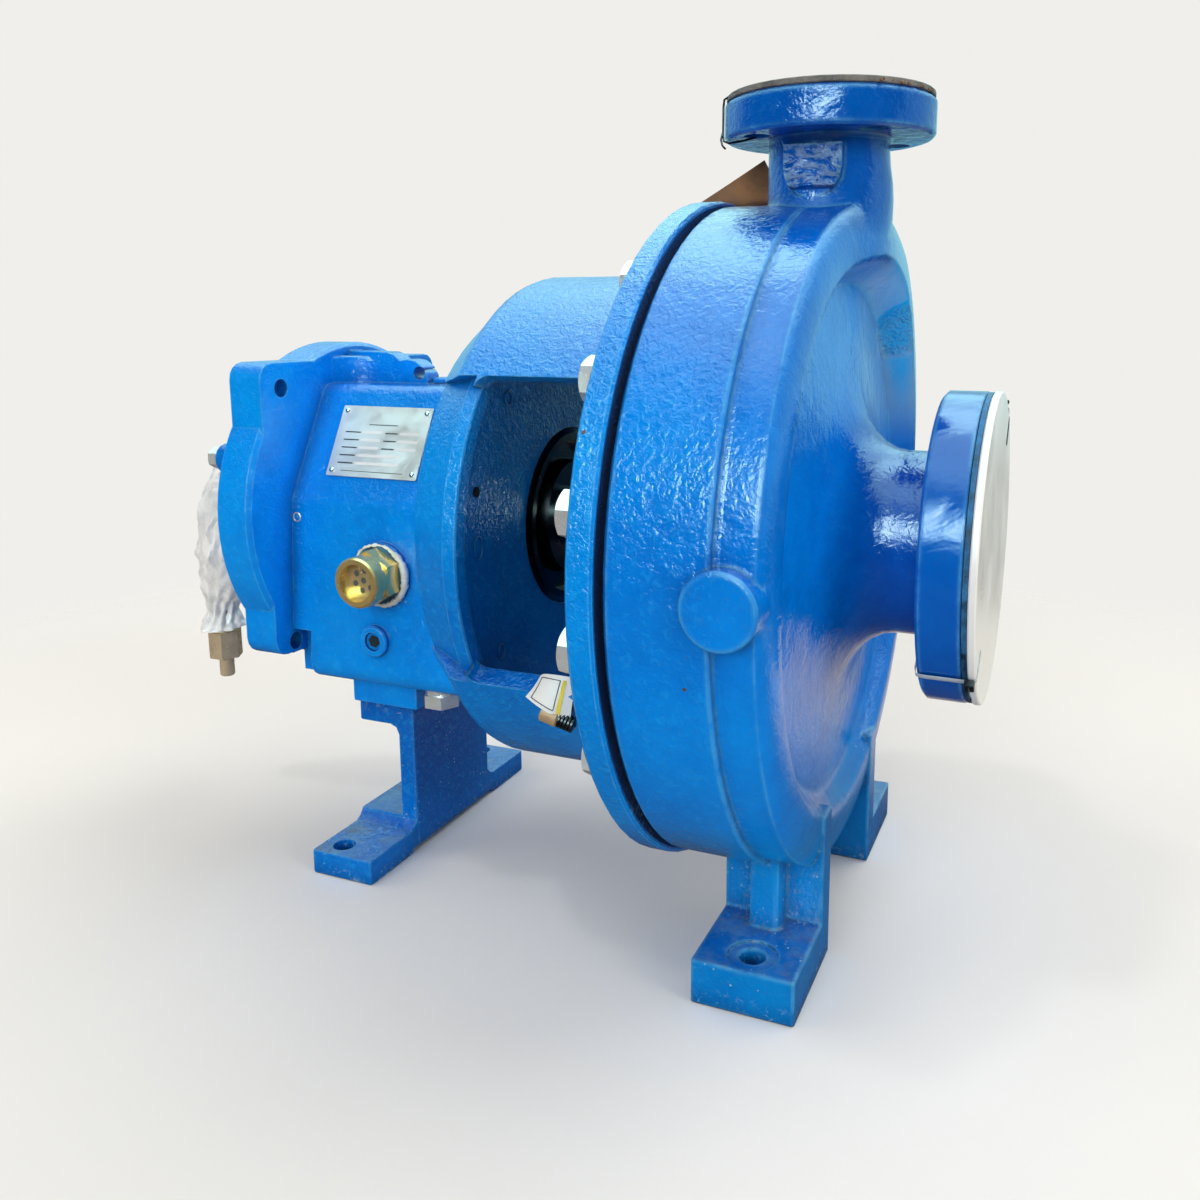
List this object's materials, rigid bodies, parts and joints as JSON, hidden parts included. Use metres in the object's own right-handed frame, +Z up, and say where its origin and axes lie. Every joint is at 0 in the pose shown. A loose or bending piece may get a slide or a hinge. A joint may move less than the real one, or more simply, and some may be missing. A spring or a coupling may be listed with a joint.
{
  "type": "centrifugal pump",
  "caption": "Horizontal end-suction process pump with a spiral volute, centre-line discharge, windowed adapter, bearing frame and bare shaft end.",
  "frame": {"origin": "centre of the bounding box, on the plane that the feet stand on", "axes": "+X along the shaft towards the suction flange, +Z up along the discharge nozzle, -Y the side with the sight glass"},
  "size_m": [0.6344, 0.4256, 0.5246],
  "materials": {
    "blue_enamel": "glossy enamel over rough casting",
    "cast_iron": "bare casting",
    "bright_steel": "machined",
    "black_steel": "black oxide",
    "brass": "machined",
    "dark_rubber": "matte",
    "white_plastic": "smooth",
    "grey_board": "fibrous",
    "clear_film": "crumpled film"
  },
  "bodies": {
    "pump": {"casing": "blue_enamel", "suction_gasket": "dark_rubber", "suction_cover": "white_plastic", "discharge_cover": "grey_board", "seal_chamber_cover": "cast_iron", "seal_gland": "bright_steel", "frame_adapter": "blue_enamel", "bearing_frame": "blue_enamel", "bearing_end_cover": "blue_enamel", "outboard_labyrinth_seal": "brass", "inboard_labyrinth_seal": "black_steel", "frame_foot": "blue_enamel", "sight_glass_body": "brass", "sight_glass_lens": "brass", "sight_glass_gasket": "white_plastic", "side_plug_near": "blue_enamel", "side_plug_far": "blue_enamel", "drain_plug": "bright_steel", "filler_plug": "blue_enamel"},
    "rotor": {"shaft": "bright_steel", "shaft_sleeve": "bright_steel", "shaft_bag": "clear_film", "bagged_fitting": "brass"}
  },
  "joints": [
    {"name": "shaft_spin", "type": "hinge", "parent": "pump", "child": "rotor", "pos_m": [-0.0907, 0, 0.254], "axis": [1, 0, 0], "continuous": true}
  ]
}
